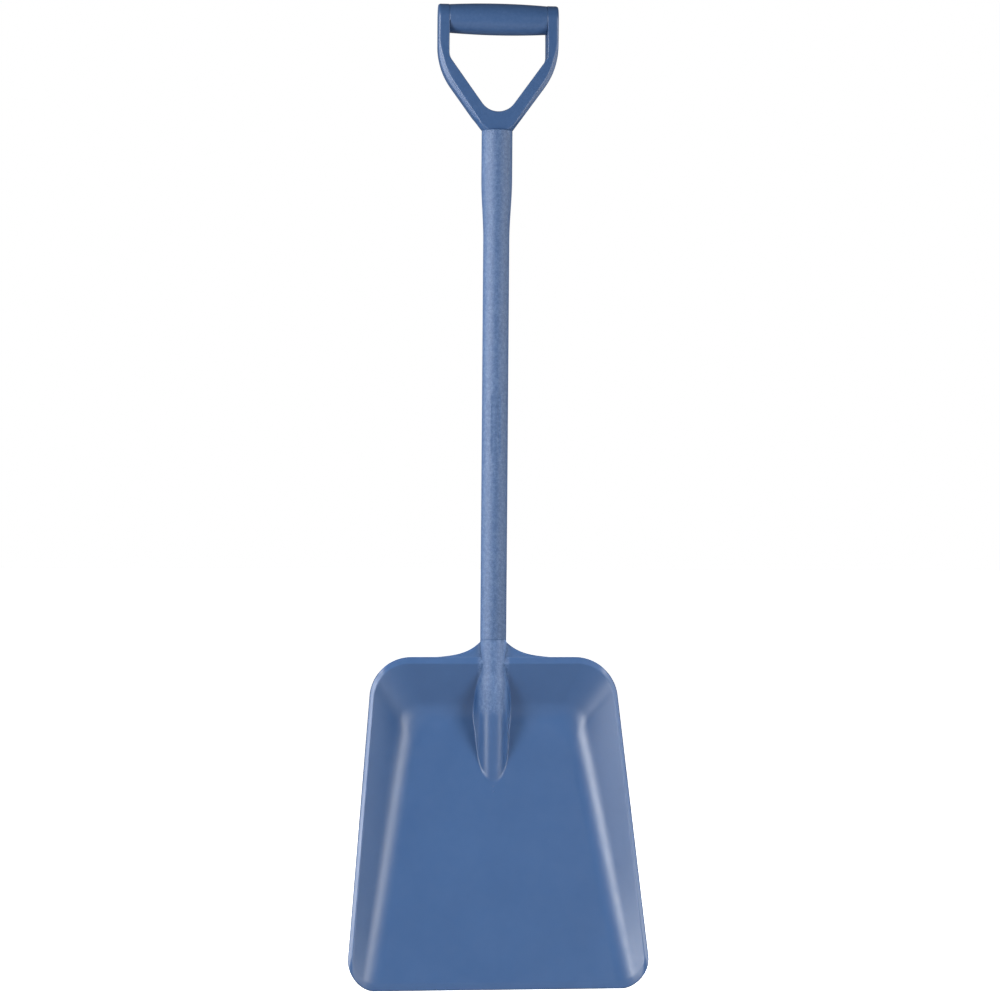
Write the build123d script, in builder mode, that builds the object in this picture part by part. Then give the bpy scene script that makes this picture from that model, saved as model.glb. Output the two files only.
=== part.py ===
"""Snow shovel with a D-grip: moulded pan and socket, sleeved shaft, yoke and crossbar grip.

Millimetres. The origin is the middle of the pan's mouth edge. +Z runs up along the shaft,
+X to the right and +Y towards the back of the pan.
"""

import os
from math import cos, radians, sin, sqrt, tan

from build123d import *

# Pan
blade_width = 336.0          # widest, just above the mouth's round corners
blade_length = 374.0         # mouth edge to the top of the rim, along the floor
rim_half_top = 139.6         # half width of the rim at the top, before its corners
top_corner = 47.0            # rim corner beside the shaft
mouth_corner = 31.0          # rim corner at the mouth
wall = 4.2                   # floor and side walls
floor_lean = 23.0            # degrees from the shaft's line to the floor
rim_lean = 18.0              # degrees from the shaft's line to the plane of the rim
rim_height_mouth = 13.5      # from the floor to the rim at the mouth
wall_slope = 45.0            # side and back walls, from the floor
rim_flange = 5.0             # flat lip along the sides of the rim
rim_flange_top = 8.5         # and across its top
flange_thickness = 3.6
foot_radius = 40.0           # where the floor turns up into the walls, inside
corner_radius = 52.0         # where a side wall turns into the back wall, inside

# Socket that the pan holds the shaft with
axis_cross = 262.5           # height at which the shaft's line meets the floor
socket_radius = 18.0
socket_top = 383.0
socket_flare_low = 322.0     # the socket narrows to the shaft's size between these
socket_flare_high = 358.0
bore_floor = 254.0
spine_length = 150.0         # tapered rib behind the floor, below the socket
spine_end_radius = 7.0
wing_reach = 60.0            # webs that rise from the rim to the shaft's flanks
wing_rise = 21.0
wing_thickness = 5.0
wing_setback = 1.2           # behind the plane of the rim
wing_root = 5.5              # how far the webs run down into the back wall

# Shaft
shaft_radius = 15.1
collar_radius = 17.8
collar_low = 914.0
collar_taper = 845.0
collar_top = 970.0
tube_radius = 11.0
tube_wall = 1.5
tube_top = 976.0
plug_flange = 1.4
plug_length = 14.0
panel_low = 596.0            # plain recessed panel on the front of the shaft
panel_high = 666.0
panel_width = 11.0
panel_depth = 0.6
fit = 0.1                    # radial clearance of the sliding fits

# D-grip
grip_height = 1098.0         # middle of the crossbar
grip_radius = 18.0           # at its middle
grip_end_radius = 16.2
lug_radius = 16.5
yoke_half = 69.0             # outside of the upright legs
opening_half = 56.5          # inside of the upright legs
opening_bottom = 990.9
opening_tip_radius = 22.7
leg_lean = 36.0              # degrees of the sloping legs from the shaft's line
shoulder_radius = 78.0       # outside, from a sloping leg to an upright one
elbow_radius = 15.0          # inside, at the same place
yoke_half_depth = 14.0       # at the collar
bevel = 5.2
spigot_low = 918.0
spigot_radius = 14.3
bore_roof = 978.0
rod_radius = 4.0
cap_radius = 7.5
cap_thickness = 3.0
tenon_half = 9.0             # square ends of the crossbar, which keep it from turning
tenon_length = 5.0

# Screws
screw_radius = 2.1
screw_head_radius = 4.0
screw_head_height = 2.4
screw_length = 9.5
screw_sink = 0.5             # how deep the seat lies in the surface
blade_screw_heights = (330.0, 366.0)
handle_screw_height = 940.0

lean = radians(floor_lean)
shaft_y = axis_cross * tan(lean) - wall / 2 / cos(lean)
floor_plane = Plane(origin=(0, 0, 0), x_dir=(1, 0, 0), z_dir=(0, -cos(lean), sin(lean)))
inside_plane = floor_plane.offset(wall / 2)
rim_plane = Plane(
    origin=inside_plane.from_local_coords((0, 0, rim_height_mouth)),
    x_dir=(1, 0, 0),
    z_dir=(0, -cos(radians(rim_lean)), sin(radians(rim_lean))),
)
shaft_plane = Plane(origin=(0, shaft_y, 0), x_dir=(1, 0, 0), z_dir=(0, -1, 0))
side_plane = Plane(origin=(0, shaft_y, 0), x_dir=(0, 1, 0), z_dir=(1, 0, 0))
grip_plane = Plane(origin=(0, shaft_y, grip_height), x_dir=(0, 1, 0), z_dir=(1, 0, 0))

# The rim's side lines narrow from the mouth to the top.
rim_height_top = rim_height_mouth + blade_length * tan(radians(floor_lean - rim_lean))
widest_at = mouth_corner * 1.15
rim_narrowing = (blade_width / 2 - rim_half_top) / (blade_length - widest_at)
rim_half_mouth = blade_width / 2 + widest_at * rim_narrowing

# The walls' feet lie further in, by the height of the rim over the tangent of the slope.
run = 1 / tan(radians(wall_slope))
foot_half_mouth = rim_half_mouth - rim_flange - rim_height_mouth * run
foot_half_top = rim_half_top - rim_flange - rim_height_top * run
foot_narrowing = (foot_half_mouth - foot_half_top) / blade_length
foot_back = blade_length - rim_flange_top - rim_height_top * run
past_mouth = 60.0            # the forms run past the mouth and are cut off there
form_height = 80.0


def foot_outline(level, grow):
    """Corners of the tray at a level over the floor, with its walls grown outwards."""
    reach = level * run + grow / sin(radians(wall_slope))
    stretch = reach * sqrt(1 + foot_narrowing**2)
    back = foot_back + reach
    half_back = foot_half_mouth + stretch - foot_narrowing * back
    half_front = foot_half_mouth + stretch + foot_narrowing * past_mouth
    return [
        (-half_front, -past_mouth),
        (half_front, -past_mouth),
        (half_back, back),
        (-half_back, back),
    ]


def tray(grow):
    """The hollow of the pan as a solid, or its outside when grown by the wall."""
    with BuildPart() as form:
        with BuildSketch(inside_plane.offset(-grow)):
            Polygon(*foot_outline(-grow, grow), align=None)
        with BuildSketch(inside_plane.offset(form_height)):
            Polygon(*foot_outline(form_height, grow), align=None)
        loft(ruled=True)
        sloping = form.edges().filter_by(lambda e: abs(e.tangent_at(0.5).dot(inside_plane.y_dir)) < 0.9)
        sloping = sloping.filter_by(lambda e: abs(e.tangent_at(0.5).dot(inside_plane.x_dir)) < 0.9)
        corners = sloping.filter_by(lambda e: inside_plane.to_local_coords(e @ 0.5).Y > 0)
        fillet(corners, corner_radius + grow)
        low = form.faces().sort_by(lambda f: inside_plane.to_local_coords(f.center()).Z)[0]
        feet = low.edges().filter_by(
            lambda e: inside_plane.to_local_coords(e @ 0.5).Y > -past_mouth + 1
        )
        fillet(feet, foot_radius + grow)
    return form.part


# Blade: tray wall, flat rim flange, wings, socket and spine
tray_outside = tray(wall)
tray_inside = tray(0)

with BuildPart() as flange_layer:
    with BuildSketch(rim_plane):
        Rectangle(3 * blade_width, 3 * blade_length)
    extrude(amount=-flange_thickness)

with BuildPart() as above_rim:
    with BuildSketch(rim_plane):
        Rectangle(3 * blade_width, 3 * blade_length)
    extrude(amount=2 * form_height)

with BuildPart() as blade:
    with BuildSketch(floor_plane):
        with BuildLine():
            FilletPolyline(
                (-rim_half_mouth, 0),
                (rim_half_mouth, 0),
                (rim_half_top, blade_length),
                (-rim_half_top, blade_length),
                radius=(mouth_corner, mouth_corner, top_corner, top_corner),
                close=True,
            )
        make_face()
    extrude(amount=form_height, both=True)
    add(tray_outside + flange_layer.part, mode=Mode.INTERSECT)
    add(tray_inside, mode=Mode.SUBTRACT)
    add(above_rim.part, mode=Mode.SUBTRACT)

shaft_axis = Axis((0, shaft_y, 0), (0, 0, 1))
with BuildPart() as socket:
    with BuildSketch(shaft_plane):
        with BuildLine():
            CenterArc((0, axis_cross), socket_radius, -90, 90)
            Line((socket_radius, axis_cross), (socket_radius, socket_flare_low))
            Spline(
                (socket_radius, socket_flare_low),
                (shaft_radius, socket_flare_high),
                tangents=((0, 1), (0, 1)),
            )
            Line((shaft_radius, socket_flare_high), (shaft_radius, socket_top))
            Line((shaft_radius, socket_top), (0, socket_top))
            Line((0, socket_top), (0, axis_cross - socket_radius))
        make_face()
    revolve(axis=shaft_axis)

# The socket's nose shows only in front of the floor, and the spine only behind it.
nose_low = axis_cross - 1.3 * socket_radius / tan(lean)
with BuildPart() as nose:
    with BuildSketch(Plane((0, shaft_y, nose_low))):
        Circle(socket_radius)
    extrude(amount=axis_cross - nose_low)
    split(bisect_by=floor_plane, keep=Keep.TOP)

spine_root = shaft_y * sin(lean) + axis_cross * cos(lean)
spine_axis = Axis(inside_plane.origin, inside_plane.y_dir)
with BuildPart() as spine:
    with BuildSketch(inside_plane):
        with BuildLine():
            CenterArc((0, spine_root - spine_length), spine_end_radius, -90, 90)
            Line(
                (spine_end_radius, spine_root - spine_length),
                (socket_radius - 2 * fit, spine_root),
            )
            Line((socket_radius - 2 * fit, spine_root), (0, spine_root))
            Line((0, spine_root), (0, spine_root - spine_length - spine_end_radius))
        make_face()
    revolve(axis=spine_axis)
    split(bisect_by=floor_plane, keep=Keep.BOTTOM)

rim_top = blade_length / cos(radians(floor_lean - rim_lean))
with BuildPart() as wings:
    with BuildSketch(rim_plane.offset(-wing_setback)):
        with BuildLine():
            curve = Spline(
                (shaft_radius - 1, rim_top + wing_rise),
                (wing_reach, rim_top - 1),
                tangents=((1, -1.3), (1, -0.02)),
            )
            Line(curve @ 1, (wing_reach, rim_top - wing_root))
            Line((wing_reach, rim_top - wing_root), (0, rim_top - wing_root))
            Line((0, rim_top - wing_root), (0, rim_top + wing_rise))
            Line((0, rim_top + wing_rise), curve @ 0)
        make_face()
    extrude(amount=-wing_thickness)
    mirror(about=Plane.YZ)


def screw_hole(height, surface):
    """Clearance hole and head seat on the rear of the shaft's line, at a height."""
    with BuildPart() as hole:
        with BuildSketch(Plane.XZ.offset(-shaft_y)):
            with Locations((0, height)):
                Circle(screw_radius + fit)
        extrude(amount=-surface - screw_head_height)
        with BuildSketch(Plane.XZ.offset(-shaft_y - surface + screw_sink)):
            with Locations((0, height)):
                Circle(screw_head_radius + 0.4)
        extrude(amount=-2 * screw_sink)
    return hole.part


with BuildPart() as blade_holes:
    with BuildSketch(Plane((0, shaft_y, bore_floor))):
        Circle(tube_radius + fit)
    extrude(amount=socket_top - bore_floor + 1)
    add(screw_hole(blade_screw_heights[0], socket_radius))
    add(screw_hole(blade_screw_heights[1], shaft_radius))

with BuildPart() as blade_piece:
    add(blade.part)
    add(socket.part)
    add(nose.part)
    add(spine.part)
    add(wings.part)
    add(blade_holes.part, mode=Mode.SUBTRACT)
blade_piece.part.label = "blade"

# Shaft sleeve: tapered collar at the top, plain recessed panel on the front
with BuildPart() as shaft_sleeve:
    with BuildSketch(shaft_plane):
        with BuildLine():
            Polyline(
                (tube_radius + fit, socket_top),
                (shaft_radius, socket_top),
                (shaft_radius, collar_taper),
            )
            Spline(
                (shaft_radius, collar_taper),
                (collar_radius, collar_low),
                tangents=((0, 1), (0, 1)),
            )
            Polyline(
                (collar_radius, collar_low),
                (collar_radius, collar_top),
                (spigot_radius + fit, collar_top),
                (spigot_radius + fit, spigot_low - 1),
                (tube_radius + fit, spigot_low - 1),
                (tube_radius + fit, socket_top),
            )
        make_face()
    revolve(axis=shaft_axis)
    with BuildSketch(shaft_plane.offset(shaft_radius - panel_depth)):
        with Locations((0, (panel_low + panel_high) / 2)):
            RectangleRounded(panel_width, panel_high - panel_low, panel_width / 2.5)
    extrude(amount=2 * panel_depth, mode=Mode.SUBTRACT)
    add(screw_hole(handle_screw_height, collar_radius), mode=Mode.SUBTRACT)
shaft_sleeve.part.label = "shaft_sleeve"

# Core tube and the plugs that close its ends
tube_bottom = bore_floor + 0.1 + plug_flange
with BuildPart() as core_tube:
    with BuildSketch(Plane((0, shaft_y, tube_bottom))):
        Circle(tube_radius)
        Circle(tube_radius - tube_wall, mode=Mode.SUBTRACT)
    extrude(amount=tube_top - tube_bottom)
    add(screw_hole(blade_screw_heights[0], socket_radius), mode=Mode.SUBTRACT)
    add(screw_hole(blade_screw_heights[1], shaft_radius), mode=Mode.SUBTRACT)
    add(screw_hole(handle_screw_height, collar_radius), mode=Mode.SUBTRACT)
core_tube.part.label = "core_tube"


def tube_plug(height, inwards):
    """Flanged plug at a tube end; inwards is +1 when its body points up."""
    with BuildPart() as plug:
        with BuildSketch(Plane((0, shaft_y, height))):
            Circle(tube_radius - fit)
        extrude(amount=-inwards * plug_flange)
        with BuildSketch(Plane((0, shaft_y, height))):
            Circle(tube_radius - tube_wall - fit)
        extrude(amount=inwards * plug_length)
        tip = plug.faces().sort_by(Axis.Z)[-1 if inwards > 0 else 0]
        chamfer(tip.edges(), 1.2)
    return plug.part


core_plug_top = tube_plug(tube_top, -1)
core_plug_top.label = "core_plug_top"
core_plug_bottom = tube_plug(tube_bottom, 1)
core_plug_bottom.label = "core_plug_bottom"

# D-grip yoke: the front outline, the side outline and a cone over the collar meet in it.
shoulder = collar_top + (yoke_half - collar_radius) / tan(radians(leg_lean))
apex = opening_bottom - opening_tip_radius * (1 / sin(radians(leg_lean)) - 1)
elbow = apex + opening_half / tan(radians(leg_lean))
grip_axis = Axis((0, shaft_y, grip_height), (1, 0, 0))

with BuildPart() as yoke_sides:
    with BuildSketch(side_plane):
        with BuildLine():
            Polyline(
                (-lug_radius, grip_height),
                (-yoke_half_depth, collar_top),
                (yoke_half_depth, collar_top),
                (lug_radius, grip_height),
            )
            CenterArc((0, grip_height), lug_radius, 0, 180)
        make_face()
    extrude(amount=yoke_half, both=True)

with BuildPart() as collar_cone:
    with BuildSketch(shaft_plane):
        height = grip_height + lug_radius - collar_top
        Polygon(
            (0, collar_top),
            (collar_radius, collar_top),
            (collar_radius + 0.95 * height, collar_top + height),
            (0, collar_top + height),
            align=None,
        )
    revolve(axis=shaft_axis)

with BuildPart() as opening:
    with BuildSketch(shaft_plane) as opening_outline:
        Polygon(
            (0, apex),
            (opening_half, elbow),
            (opening_half, grip_height + 2 * lug_radius),
            (-opening_half, grip_height + 2 * lug_radius),
            (-opening_half, elbow),
            align=None,
        )
        tip = opening_outline.vertices().filter_by(lambda v: abs(v.Y - apex) < 1)
        fillet(tip, opening_tip_radius)
        elbows = opening_outline.vertices().filter_by(lambda v: abs(v.Y - elbow) < 1)
        fillet(elbows, elbow_radius)
    extrude(amount=2 * lug_radius, both=True)


def on_outside(edge):
    """True for the long edges of the yoke's front and back faces."""
    middle = edge @ 0.5
    return abs(middle.X) > 1 and abs(edge.tangent_at(0.5).X) < 0.95


with BuildPart() as d_handle:
    with BuildSketch(shaft_plane) as outline:
        Polygon(
            (-collar_radius, collar_top),
            (collar_radius, collar_top),
            (yoke_half, shoulder),
            (yoke_half, grip_height + lug_radius),
            (-yoke_half, grip_height + lug_radius),
            (-yoke_half, shoulder),
            align=None,
        )
        shoulders = outline.vertices().filter_by(lambda v: abs(v.Y - shoulder) < 1)
        fillet(shoulders, shoulder_radius)
    extrude(amount=2 * lug_radius, both=True)
    add(yoke_sides.part, mode=Mode.INTERSECT)
    flat_faces = d_handle.faces().filter_by(lambda f: abs(f.normal_at().Y) > 0.99)
    chamfer(flat_faces.edges().filter_by(on_outside), bevel)
    add(collar_cone.part, mode=Mode.INTERSECT)
    add(opening.part, mode=Mode.SUBTRACT)
    lug_length = yoke_half - opening_half
    with BuildSketch(grip_plane.offset(opening_half)):
        Circle(lug_radius)
    extrude(amount=lug_length)
    with BuildSketch(grip_plane.offset(-opening_half)):
        Circle(lug_radius)
    extrude(amount=-lug_length)
    with BuildSketch(Plane((0, shaft_y, spigot_low))):
        Circle(spigot_radius)
    extrude(amount=collar_top - spigot_low + 1)
    with BuildSketch(Plane((0, shaft_y, spigot_low))):
        Circle(tube_radius + fit)
    extrude(amount=bore_roof - spigot_low, mode=Mode.SUBTRACT)
    with BuildSketch(grip_plane):
        Circle(rod_radius + fit)
    extrude(amount=yoke_half, both=True, mode=Mode.SUBTRACT)
    with BuildSketch(grip_plane):
        Rectangle(2 * (tenon_half + fit), 2 * (tenon_half + fit))
    extrude(amount=opening_half + tenon_length + 3 * fit, both=True, mode=Mode.SUBTRACT)
    with BuildSketch(grip_plane.offset(yoke_half - cap_thickness)):
        Circle(cap_radius + fit)
    extrude(amount=cap_thickness, mode=Mode.SUBTRACT)
    with BuildSketch(grip_plane.offset(-yoke_half + cap_thickness)):
        Circle(cap_radius + fit)
    extrude(amount=-cap_thickness, mode=Mode.SUBTRACT)
    add(screw_hole(handle_screw_height, collar_radius), mode=Mode.SUBTRACT)
d_handle.part.label = "d_handle"

# Crossbar: a barrel with a square tenon at each end, on a rod with a cap over each end
with BuildPart() as grip_sleeve:
    with BuildSketch(shaft_plane):
        half = opening_half - fit
        with BuildLine():
            ThreePointArc(
                (-half, grip_height + grip_end_radius),
                (0, grip_height + grip_radius),
                (half, grip_height + grip_end_radius),
            )
            Polyline(
                (half, grip_height + grip_end_radius),
                (half, grip_height),
                (-half, grip_height),
                (-half, grip_height + grip_end_radius),
            )
        make_face()
    revolve(axis=grip_axis)
    with BuildSketch(grip_plane):
        Rectangle(2 * tenon_half, 2 * tenon_half)
    extrude(amount=opening_half + tenon_length, both=True)
    with BuildSketch(grip_plane):
        Circle(rod_radius + fit)
    extrude(amount=yoke_half, both=True, mode=Mode.SUBTRACT)
grip_sleeve.part.label = "grip_sleeve"

with BuildPart() as grip_rod:
    with BuildSketch(grip_plane):
        Circle(rod_radius)
    extrude(amount=yoke_half - cap_thickness - fit, both=True)
    chamfer(grip_rod.edges().filter_by(GeomType.CIRCLE), 0.6)
grip_rod.part.label = "grip_rod"

with BuildPart() as grip_rod_caps:
    with BuildSketch(grip_plane.offset(yoke_half - cap_thickness)):
        Circle(cap_radius)
    extrude(amount=cap_thickness)
    outer_face = grip_rod_caps.faces().sort_by(Axis.X)[-1]
    chamfer(outer_face.edges(), 0.8)
    mirror(about=Plane.YZ)
grip_rod_caps.part.label = "grip_rod_caps"


def rear_screw(height, surface):
    """Domed self-tapping screw, driven from the rear towards the shaft's line."""
    seat = surface - screw_sink
    with BuildPart() as screw:
        with BuildSketch(Plane.XZ.offset(-shaft_y - seat)):
            with Locations((0, height)):
                Circle(screw_head_radius)
        extrude(amount=-screw_head_height)
        crown = screw.faces().sort_by(Axis.Y)[-1]
        fillet(crown.edges(), 1.1)
        with BuildSketch(Plane.XZ.offset(-shaft_y - seat - screw_head_height)):
            with Locations((0, height)):
                Rectangle(4.0, 0.9)
                Rectangle(0.9, 4.0)
        extrude(amount=1.2, mode=Mode.SUBTRACT)
        with BuildSketch(Plane.XZ.offset(-shaft_y - seat)):
            with Locations((0, height)):
                Circle(screw_radius)
        extrude(amount=screw_length)
        point = screw.faces().sort_by(Axis.Y)[0]
        chamfer(point.edges(), 1.0)
    return screw.part


with BuildPart() as blade_screws:
    add(rear_screw(blade_screw_heights[0], socket_radius))
    add(rear_screw(blade_screw_heights[1], shaft_radius))
blade_screws.part.label = "blade_screws"

handle_screw = rear_screw(handle_screw_height, collar_radius)
handle_screw.label = "handle_screw"

os.makedirs("parts", exist_ok=True)
export_step(blade_piece.part, "parts/blade.step")
export_step(shaft_sleeve.part, "parts/shaft_sleeve.step")
export_step(core_tube.part, "parts/core_tube.step")
export_step(core_plug_top, "parts/core_plug_top.step")
export_step(core_plug_bottom, "parts/core_plug_bottom.step")
export_step(d_handle.part, "parts/d_handle.step")
export_step(grip_sleeve.part, "parts/grip_sleeve.step")
export_step(grip_rod.part, "parts/grip_rod.step")
export_step(grip_rod_caps.part, "parts/grip_rod_caps.step")
export_step(blade_screws.part, "parts/blade_screws.step")
export_step(handle_screw, "parts/handle_screw.step")
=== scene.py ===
import math

import bmesh
import bpy
import numpy as np
from mathutils import Matrix, Vector


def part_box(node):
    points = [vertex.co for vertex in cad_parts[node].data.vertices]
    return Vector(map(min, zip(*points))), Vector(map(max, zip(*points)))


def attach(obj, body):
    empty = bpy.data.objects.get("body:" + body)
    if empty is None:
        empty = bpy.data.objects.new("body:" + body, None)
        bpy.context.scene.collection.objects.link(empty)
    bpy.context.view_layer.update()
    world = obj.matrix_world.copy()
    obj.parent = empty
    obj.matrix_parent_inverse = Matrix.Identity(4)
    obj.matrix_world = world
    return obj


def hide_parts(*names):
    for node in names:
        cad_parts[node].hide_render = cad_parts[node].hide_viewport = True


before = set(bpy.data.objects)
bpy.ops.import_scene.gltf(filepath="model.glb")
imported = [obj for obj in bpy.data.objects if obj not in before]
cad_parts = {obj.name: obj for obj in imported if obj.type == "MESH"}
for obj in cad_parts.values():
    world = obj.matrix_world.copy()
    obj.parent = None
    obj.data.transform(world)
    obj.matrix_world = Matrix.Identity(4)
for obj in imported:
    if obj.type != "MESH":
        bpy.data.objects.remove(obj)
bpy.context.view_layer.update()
mm = 0.001
print("frame loaded:", sorted(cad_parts))


# places

shaftLow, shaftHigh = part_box("shaft_sleeve")
shaftY = (shaftLow.y + shaftHigh.y) / 2 / mm     # the shaft's line stands at this y
shaftBottom = shaftLow.z / mm
collarTop = shaftHigh.z / mm
gripLow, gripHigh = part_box("grip_rod_caps")
gripZ = (gripLow.z + gripHigh.z) / 2 / mm


# helpers

def smoothMin(a, b, k):
    h = np.maximum(k - np.abs(a - b), 0) / k
    return np.minimum(a, b) - h * h * k / 4


def smoothMax(a, b, k):
    return -smoothMin(-a, -b, k)


def fade(x, low, high):
    t = np.clip((x - low) / (high - low), 0, 1)
    return t * t * (3 - 2 * t)


# how far a surface falls at a distance s from an edge of radius r
def edgeDrop(s, r):
    q = np.clip(r - s, 0, r)
    return r - np.sqrt(r * r - q * q)


class Shell:                                            # grids of points in millimetres, welded into one mesh

    def __init__(self):
        self.points, self.faces = [], []

    def grid(self, p, closed=False):
        rows, cols = p.shape[:2]
        base = len(self.points)
        self.points.extend(map(tuple, p.reshape(-1, 3)))
        for i in range(rows - 1):
            for j in range(cols if closed else cols - 1):
                k = (j + 1) % cols
                self.faces.append((base + i * cols + j, base + i * cols + k,
                                   base + (i + 1) * cols + k, base + (i + 1) * cols + j))

    def fan(self, ring, centre):
        base = len(self.points)
        self.points.extend(map(tuple, ring))
        self.points.append(tuple(centre))
        n = len(ring)
        for j in range(n):
            self.faces.append((base + j, base + (j + 1) % n, base + n))

    def make(self, name, material):
        bm = bmesh.new()
        verts = [bm.verts.new([c * mm for c in p]) for p in self.points]
        for f in self.faces:
            if len(set(f)) == len(f):
                bm.faces.new([verts[i] for i in f])
        bmesh.ops.remove_doubles(bm, verts=bm.verts, dist=2e-6)
        bmesh.ops.dissolve_degenerate(bm, edges=bm.edges, dist=1e-7)
        loose = [v for v in bm.verts if not v.link_faces]
        bmesh.ops.delete(bm, geom=loose, context="VERTS")
        bmesh.ops.recalc_face_normals(bm, faces=bm.faces)
        mesh = bpy.data.meshes.new(name)
        bm.to_mesh(mesh)
        openEdges = sum(1 for e in bm.edges if len(e.link_faces) != 2)
        bm.free()
        mesh.polygons.foreach_set("use_smooth", [True] * len(mesh.polygons))
        piece = bpy.data.objects.new(name, mesh)
        bpy.context.scene.collection.objects.link(piece)
        mesh.materials.append(material)
        print(name, "has", sum(len(p.vertices) - 2 for p in mesh.polygons), "triangles,",
              openEdges, "edges not shared by two faces")
        return piece


def finishPiece(piece, slotName, *nodes):
    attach(piece, "root")
    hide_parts(*nodes)


# materials

def newMaterial(name):
    material = bpy.data.materials.new(name)
    material.use_nodes = True
    nodes = material.node_tree.nodes
    shader = nodes["Principled BSDF"]
    return material, nodes, material.node_tree.links, shader


def addNoise(nodes, links, coordinate, scale, detail, roughness=0.55):
    noise = nodes.new("ShaderNodeTexNoise")
    noise.inputs["Scale"].default_value = scale
    noise.inputs["Detail"].default_value = detail
    noise.inputs["Roughness"].default_value = roughness
    links.new(coordinate, noise.inputs["Vector"])
    return noise.outputs["Fac"]


def addRange(nodes, links, value, fromLow, fromHigh, toLow, toHigh):
    node = nodes.new("ShaderNodeMapRange")
    node.inputs["From Min"].default_value = fromLow
    node.inputs["From Max"].default_value = fromHigh
    node.inputs["To Min"].default_value = toLow
    node.inputs["To Max"].default_value = toHigh
    links.new(value, node.inputs["Value"])
    return node.outputs["Result"]


def addMath(nodes, links, operation, a, b):
    node = nodes.new("ShaderNodeMath")
    node.operation = operation
    for socket, value in zip(node.inputs, (a, b)):
        if isinstance(value, (int, float)):
            socket.default_value = value
        else:
            links.new(value, socket)
    return node.outputs["Value"]


def addMix(nodes, links, factor, a, b):
    node = nodes.new("ShaderNodeMix")
    node.data_type = "RGBA"
    if isinstance(factor, (int, float)):
        node.inputs["Factor"].default_value = factor
    else:
        links.new(factor, node.inputs["Factor"])
    for socket, value in ((node.inputs[6], a), (node.inputs[7], b)):
        if isinstance(value, tuple):
            socket.default_value = (*value, 1)
        else:
            links.new(value, socket)
    return node.outputs[2]


def addBump(nodes, links, height, distance, strength, normal=None):
    bump = nodes.new("ShaderNodeBump")
    bump.inputs["Distance"].default_value = distance
    if isinstance(strength, (int, float)):
        bump.inputs["Strength"].default_value = strength
    else:
        links.new(strength, bump.inputs["Strength"])
    links.new(height, bump.inputs["Height"])
    if normal is not None:
        links.new(normal, bump.inputs["Normal"])
    return bump.outputs["Normal"]


plastic = {
    "colour": (0.030, 0.077, 0.190),
    "paler": (0.037, 0.091, 0.214),
    "darker": (0.025, 0.069, 0.174),
    "worn": (0.125, 0.205, 0.365),
    "cloudSize": 14.0,       # soft colour drift, per metre
    "flowSize": 90.0,
    "polish": 0.34,          # roughness of the smooth moulding
    "grainRough": 0.52,
    "grainSize": 900.0,      # eroded grain on the shaft
    "sheen": 0.72,           # strength of the surface reflection
    "mottleShow": 0.62,      # how much of the pale grain shows
    "rubbedShow": 0.22,      # and of the paler edges
    "scratchSize": 260.0,
    "peelSize": 420.0,
}


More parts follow.
